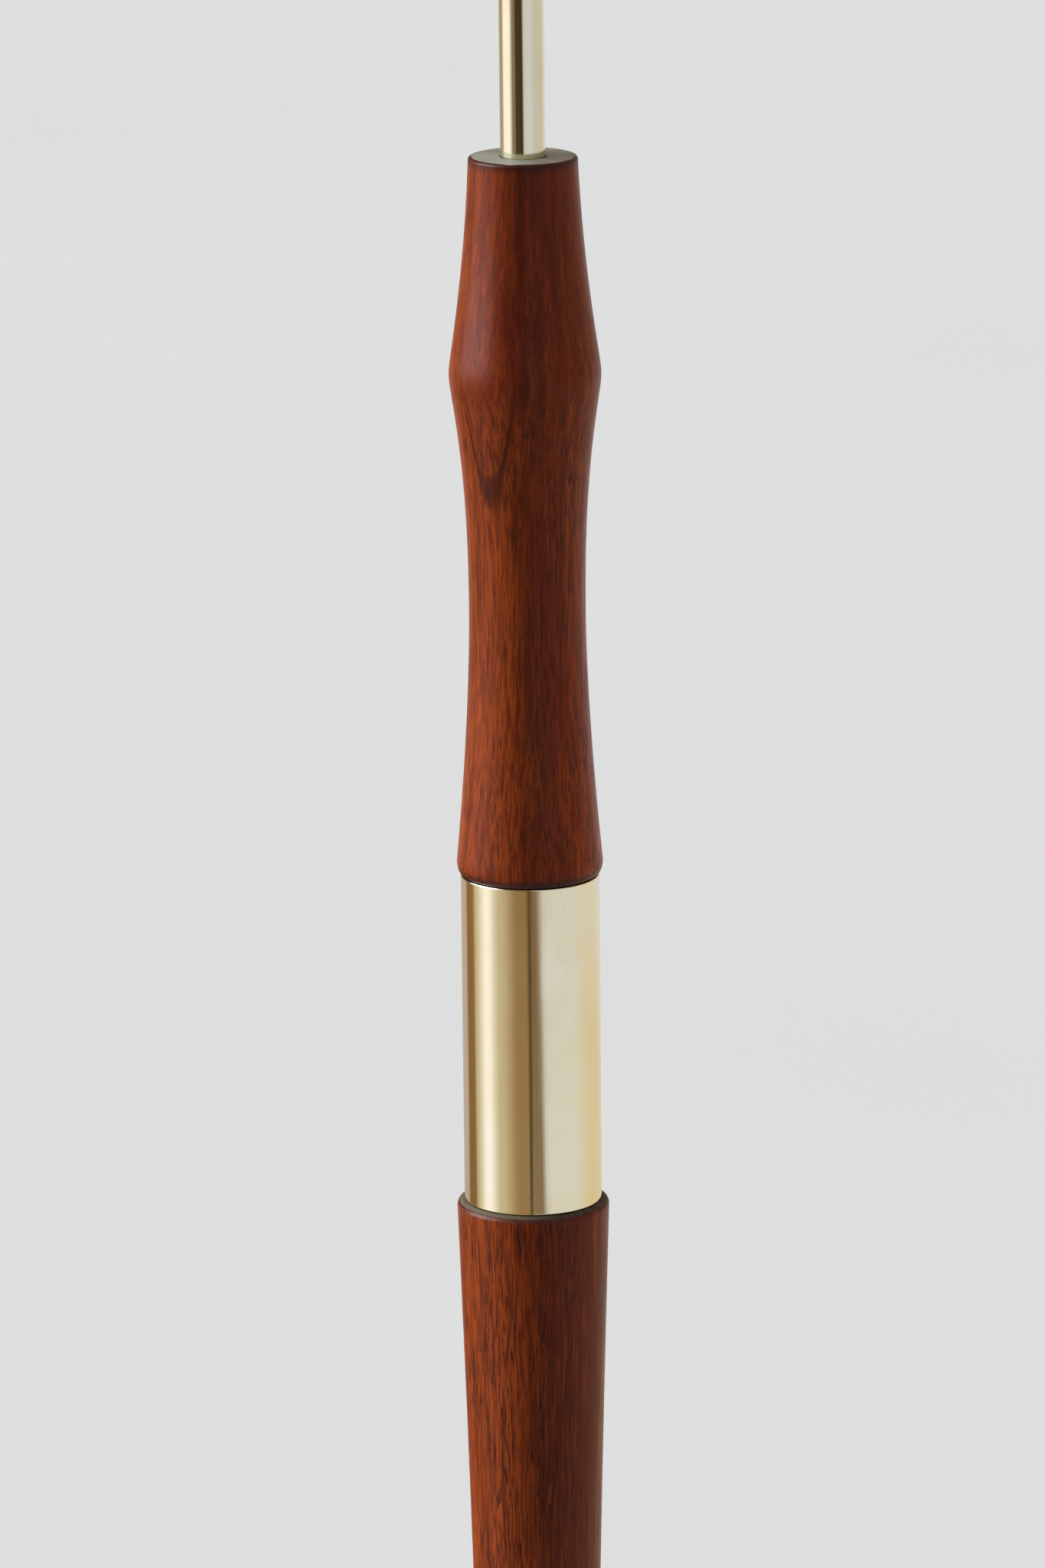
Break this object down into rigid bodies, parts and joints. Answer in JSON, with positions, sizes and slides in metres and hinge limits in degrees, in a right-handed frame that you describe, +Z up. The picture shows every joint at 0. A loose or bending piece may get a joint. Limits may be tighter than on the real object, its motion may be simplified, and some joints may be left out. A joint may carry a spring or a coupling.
{
  "type": "tension pole lamp",
  "caption": "Floor-to-ceiling tension pole lamp: brass tube, turned wood stem with a brass collar, swivelling cone shades and a sprung top.",
  "frame": {"origin": "middle of the foot pad's underside, on the floor and on the pole's axis", "axes": "+Z up along the pole to the ceiling; the picture looks along +Y, with +X to its right"},
  "size_m": [0.326, 0.3028, 2.44],
  "materials": {
    "brass": "polished and lacquered brass",
    "steel": "plain zinc-plated steel",
    "wood": "turned dark reddish-brown hardwood, satin lacquer",
    "rubber": "moulded black rubber",
    "black_plastic": "moulded black phenolic",
    "enamel": "off-white stove enamel on spun aluminium",
    "bulb_glass": "frosted glass",
    "lead_jacket": "round lead jacket"
  },
  "bodies": {
    "pole": {"foot_pad": "rubber", "foot_cup": "brass", "foot_set_screw": "steel", "lower_tube": "brass", "cord_bushing": "black_plastic", "lower_tube_plug": "steel", "tie_pipe": "steel", "lower_wood": "wood", "lower_washer": "steel", "lower_nut": "steel", "collar": "brass", "upper_nut": "steel", "upper_washer": "steel", "upper_wood": "wood", "upper_tube_plug": "steel", "upper_tube": "brass", "pole_lead": "lead_jacket", "head_1_stop": "brass", "head_2_stop": "brass", "head_3_stop": "brass", "lock_collar": "brass"},
    "head_1_swivel": {"head_1_hub": "brass", "head_1_arm": "brass"},
    "head_1_lamp": {"head_1_tongue": "brass", "head_1_holder": "brass", "head_1_socket": "black_plastic", "head_1_shade": "enamel", "head_1_shade_ring": "black_plastic", "head_1_bulb": "bulb_glass"},
    "head_1_screw": {"head_1_tilt_screw": "brass"},
    "head_1_key": {"head_1_switch_key": "black_plastic"},
    "head_2_swivel": {"head_2_hub": "brass", "head_2_arm": "brass"},
    "head_2_lamp": {"head_2_tongue": "brass", "head_2_holder": "brass", "head_2_socket": "black_plastic", "head_2_shade": "enamel", "head_2_shade_ring": "black_plastic", "head_2_bulb": "bulb_glass"},
    "head_2_screw": {"head_2_tilt_screw": "brass"},
    "head_2_key": {"head_2_switch_key": "black_plastic"},
    "head_3_swivel": {"head_3_hub": "brass", "head_3_arm": "brass"},
    "head_3_lamp": {"head_3_tongue": "brass", "head_3_holder": "brass", "head_3_socket": "black_plastic", "head_3_shade": "enamel", "head_3_shade_ring": "black_plastic", "head_3_bulb": "bulb_glass"},
    "head_3_screw": {"head_3_tilt_screw": "brass"},
    "head_3_key": {"head_3_switch_key": "black_plastic"},
    "locking_screw": {"lock_screw": "brass"},
    "extension": {"extension_tube": "brass", "end_cap": "brass", "spring": "steel"},
    "ceiling_foot": {"plunger": "steel", "ceiling_cup": "brass", "ceiling_pad": "rubber"}
  },
  "joints": [
    {"name": "head_1_turn", "type": "hinge", "parent": "pole", "child": "head_1_swivel", "pos_m": [0, 0, 1.32], "axis": [0, 0, 1], "range_deg": [-160, 160]},
    {"name": "head_1_tilt", "type": "hinge", "parent": "head_1_swivel", "child": "head_1_lamp", "pos_m": [0.0866, -0.05, 1.32], "axis": [-0.5, -0.866, 0], "range_deg": [0, 120]},
    {"name": "head_1_tilt_lock", "type": "hinge", "parent": "head_1_swivel", "child": "head_1_screw", "pos_m": [0.0866, -0.05, 1.32], "axis": [0.5, 0.866, 0], "range_deg": [0, 270]},
    {"name": "head_1_switch", "type": "hinge", "parent": "head_1_lamp", "child": "head_1_key", "pos_m": [0.0866, -0.05, 1.2807], "axis": [0.5, 0.866, 0], "continuous": true},
    {"name": "head_2_turn", "type": "hinge", "parent": "pole", "child": "head_2_swivel", "pos_m": [0, 0, 1.54], "axis": [0, 0, 1], "range_deg": [-160, 160]},
    {"name": "head_2_tilt", "type": "hinge", "parent": "head_2_swivel", "child": "head_2_lamp", "pos_m": [-0.0866, -0.05, 1.54], "axis": [-0.5, 0.866, 0], "range_deg": [0, 120]},
    {"name": "head_2_tilt_lock", "type": "hinge", "parent": "head_2_swivel", "child": "head_2_screw", "pos_m": [-0.0866, -0.05, 1.54], "axis": [0.5, -0.866, 0], "range_deg": [0, 270]},
    {"name": "head_2_switch", "type": "hinge", "parent": "head_2_lamp", "child": "head_2_key", "pos_m": [-0.0866, -0.05, 1.5007], "axis": [0.5, -0.866, 0], "continuous": true},
    {"name": "head_3_turn", "type": "hinge", "parent": "pole", "child": "head_3_swivel", "pos_m": [0, 0, 1.76], "axis": [0, 0, 1], "range_deg": [-160, 160]},
    {"name": "head_3_tilt", "type": "hinge", "parent": "head_3_swivel", "child": "head_3_lamp", "pos_m": [0, 0.1, 1.76], "axis": [1, 0, 0], "range_deg": [0, 120]},
    {"name": "head_3_tilt_lock", "type": "hinge", "parent": "head_3_swivel", "child": "head_3_screw", "pos_m": [0, 0.1, 1.76], "axis": [-1, 0, 0], "range_deg": [0, 270]},
    {"name": "head_3_switch", "type": "hinge", "parent": "head_3_lamp", "child": "head_3_key", "pos_m": [0, 0.1, 1.7207], "axis": [-1, 0, 0], "continuous": true},
    {"name": "extension_lock", "type": "hinge", "parent": "pole", "child": "locking_screw", "pos_m": [0, 0, 2.0273], "axis": [1, 0, 0], "range_deg": [0, 270]},
    {"name": "height_slide", "type": "slide", "parent": "pole", "child": "extension", "axis": [0, 0, 1], "range_m": [-0.12, 0.08]},
    {"name": "tension_slide", "type": "slide", "parent": "extension", "child": "ceiling_foot", "axis": [0, 0, 1], "range_m": [-0.05, 0], "stiffness_N_per_m": 1500, "springref_m": 0.03, "deforming": ["spring"]}
  ]
}
